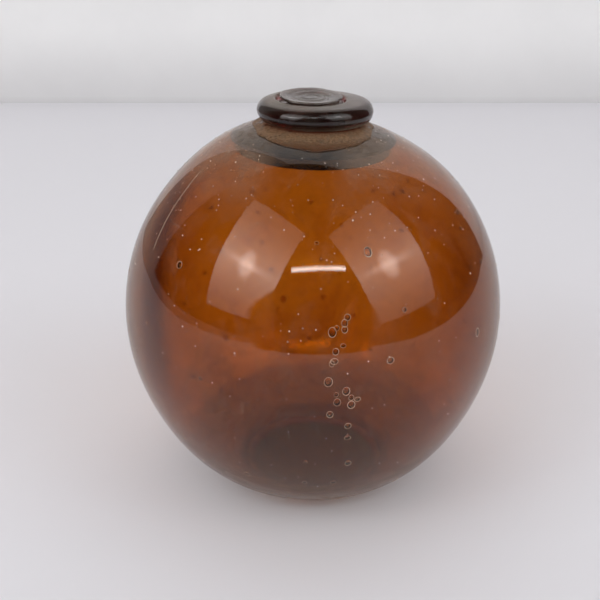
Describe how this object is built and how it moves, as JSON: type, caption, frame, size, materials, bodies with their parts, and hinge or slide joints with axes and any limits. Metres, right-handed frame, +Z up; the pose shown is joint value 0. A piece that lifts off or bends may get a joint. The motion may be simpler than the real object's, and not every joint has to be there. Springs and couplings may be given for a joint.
{
  "type": "glass net float",
  "caption": "Hollow blown-glass ball, slightly taller than wide, standing on a small flat and closed at the top by a foot, a thick rolled ring and a dished cap.",
  "frame": {"origin": "middle of the flat on which the ball stands, at the centre of the base of the bounding box", "axes": "+Z up the ball's axis through the seal on top; +X to the right and +Y away from a viewer at the front"},
  "size_m": [0.127, 0.127, 0.1373],
  "materials": {
    "float_glass": "glossy blown amber glass, seeded and dusty",
    "plug_glass": "thick dark amber glass, grimy",
    "ring_glass": "thick dark amber glass, dusty",
    "cap_glass": "thick dark amber glass with a tooled swirl"
  },
  "bodies": {
    "root": {"float_shell": "float_glass", "seal_plug": "plug_glass", "seal_ring": "ring_glass", "seal_cap": "cap_glass"}
  },
  "joints": []
}
